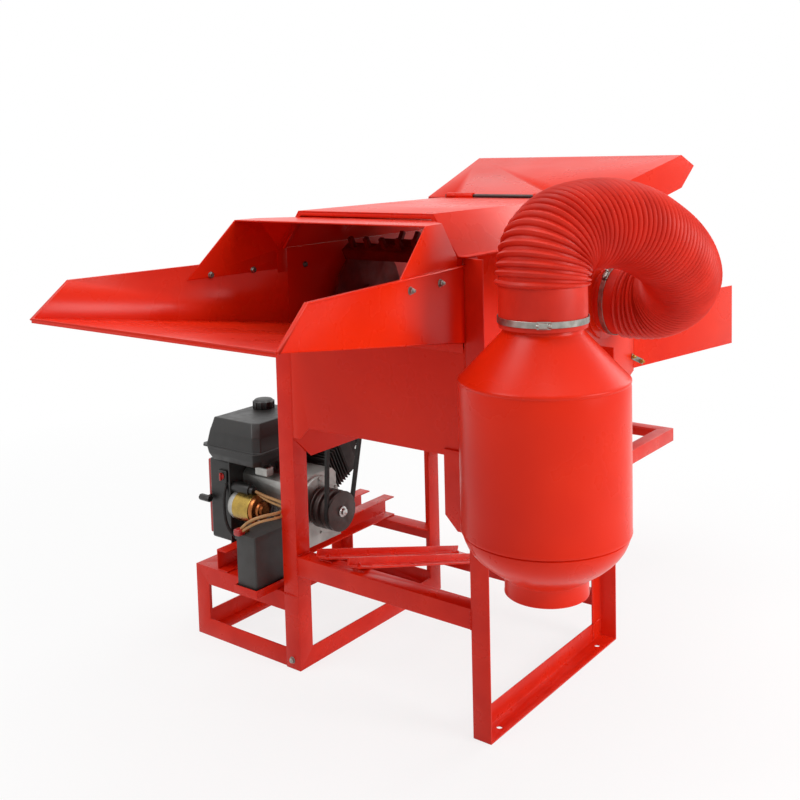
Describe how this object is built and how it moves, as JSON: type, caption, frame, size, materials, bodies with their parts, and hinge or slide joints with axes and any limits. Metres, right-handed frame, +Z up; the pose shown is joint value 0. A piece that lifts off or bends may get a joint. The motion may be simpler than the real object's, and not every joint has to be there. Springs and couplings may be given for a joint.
{
  "type": "threshing machine",
  "caption": "Belt-driven drum thresher on an angle-iron frame with feed tray, hood, hinged cover, straw chute, engine, fan, ribbed hose and grain cyclone.",
  "frame": {"origin": "on the ground, in the middle of the machine's outline seen from above", "axes": "+X along the drum shaft from the engine to the cyclone, +Y from the feed tray to the straw chute, +Z up"},
  "size_m": [1.4252, 2.0462, 1.322],
  "materials": {
    "red_paint": "gloss enamel",
    "red_hose": "satin",
    "red_plastic": "gloss",
    "black_plastic": "satin",
    "black_steel": "heat-proof satin",
    "cast_brown": "painted casting",
    "aluminium": "die-cast",
    "bright_steel": "ground",
    "grey_steel": "worn",
    "zinc_yellow": "yellow passivated",
    "copper": "satin",
    "belt_rubber": "matt"
  },
  "bodies": {
    "machine": {"left_end_frame": "red_paint", "right_end_frame": "red_paint", "front_cross_rail": "red_paint", "rear_cross_rail": "red_paint", "motor_rail_left": "red_paint", "motor_rail_right": "red_paint", "rear_outrigger": "red_paint", "engine_subframe": "red_paint", "engine_bearer_outer": "red_paint", "engine_bearer_inner": "red_paint", "left_side_plate": "red_paint", "right_side_plate": "red_paint", "front_panel": "red_paint", "grain_pan": "red_paint", "concave": "grey_steel", "feed_tray": "red_paint", "feed_hood": "red_paint", "rear_deflector": "red_paint", "cover_hinge_rod": "bright_steel", "rear_chute": "red_paint", "drum_bearing_left": "grey_steel", "drum_bearing_right": "grey_steel", "fan_bearing": "grey_steel", "fan_duct": "red_paint", "fan_bush": "copper", "drum_belt": "belt_rubber", "fan_belt": "belt_rubber", "crankcase": "aluminium", "cylinder": "black_steel", "head_cover": "black_steel", "blower_housing": "black_plastic", "recoil_cover": "red_plastic", "fuel_tank": "black_plastic", "muffler": "black_steel", "carburettor": "aluminium", "air_cleaner": "black_plastic", "starter_motor": "zinc_yellow", "starter_solenoid": "copper", "battery": "black_plastic", "battery_tray": "red_paint", "cyclone": "red_paint", "cyclone_bracket": "red_paint", "hose": "red_hose", "hose_clamp_lower": "bright_steel", "hose_clamp_upper": "bright_steel"},
    "drum": {"drum_shaft": "bright_steel", "threshing_drum": "grey_steel", "drum_pulley": "cast_brown"},
    "crank": {"crankshaft": "bright_steel", "engine_pulley": "cast_brown", "pulley_bolt": "bright_steel"},
    "fan": {"fan_shaft": "bright_steel", "fan_impeller": "grey_steel", "fan_pulley": "cast_brown"},
    "cover": {"drum_cover": "red_paint"},
    "tank_cap": {"fuel_cap": "black_plastic"},
    "pull_handle": {"recoil_handle": "black_plastic"},
    "throttle": {"throttle_lever": "bright_steel"},
    "choke": {"choke_lever": "black_plastic"},
    "ignition": {"engine_switch": "red_plastic"}
  },
  "joints": [
    {"name": "drum_spin", "type": "hinge", "parent": "machine", "child": "drum", "pos_m": [-0.26398, -0.05076, 0.962], "axis": [1, 0, 0], "continuous": true},
    {"name": "crank_spin", "type": "hinge", "parent": "machine", "child": "crank", "pos_m": [-0.26398, -0.13776, 0.3686], "axis": [1, 0, 0], "continuous": true},
    {"name": "fan_spin", "type": "hinge", "parent": "machine", "child": "fan", "pos_m": [-0.26398, 0.33724, 0.935], "axis": [1, 0, 0], "continuous": true},
    {"name": "cover_hinge", "type": "hinge", "parent": "machine", "child": "cover", "pos_m": [0.00802, 0.25924, 1.221], "axis": [-1, 0, 0], "range_deg": [0, 100]},
    {"name": "cap_turn", "type": "hinge", "parent": "machine", "child": "tank_cap", "pos_m": [-0.60898, -0.10276, 0.62], "axis": [0, 0, 1], "range_deg": [0, 90]},
    {"name": "handle_pull", "type": "slide", "parent": "machine", "child": "pull_handle", "axis": [0, -1, 0], "range_m": [0, 0.4], "stiffness_N_per_m": 30},
    {"name": "throttle_turn", "type": "hinge", "parent": "machine", "child": "throttle", "pos_m": [-0.55598, -0.08276, 0.4604], "axis": [0, 0, -1], "range_deg": [0, 25]},
    {"name": "choke_turn", "type": "hinge", "parent": "machine", "child": "choke", "pos_m": [-0.55698, 0.03324, 0.4956], "axis": [-1, 0, 0], "range_deg": [0, 75]},
    {"name": "switch_turn", "type": "hinge", "parent": "machine", "child": "ignition", "pos_m": [-0.62528, -0.26276, 0.4416], "axis": [0, -1, 0], "range_deg": [0, 60]}
  ],
  "couplings": [
    {"joint": "crank_spin", "follows": "drum_spin", "ratio": 2.0562},
    {"joint": "fan_spin", "follows": "drum_spin", "ratio": 2.0973}
  ]
}
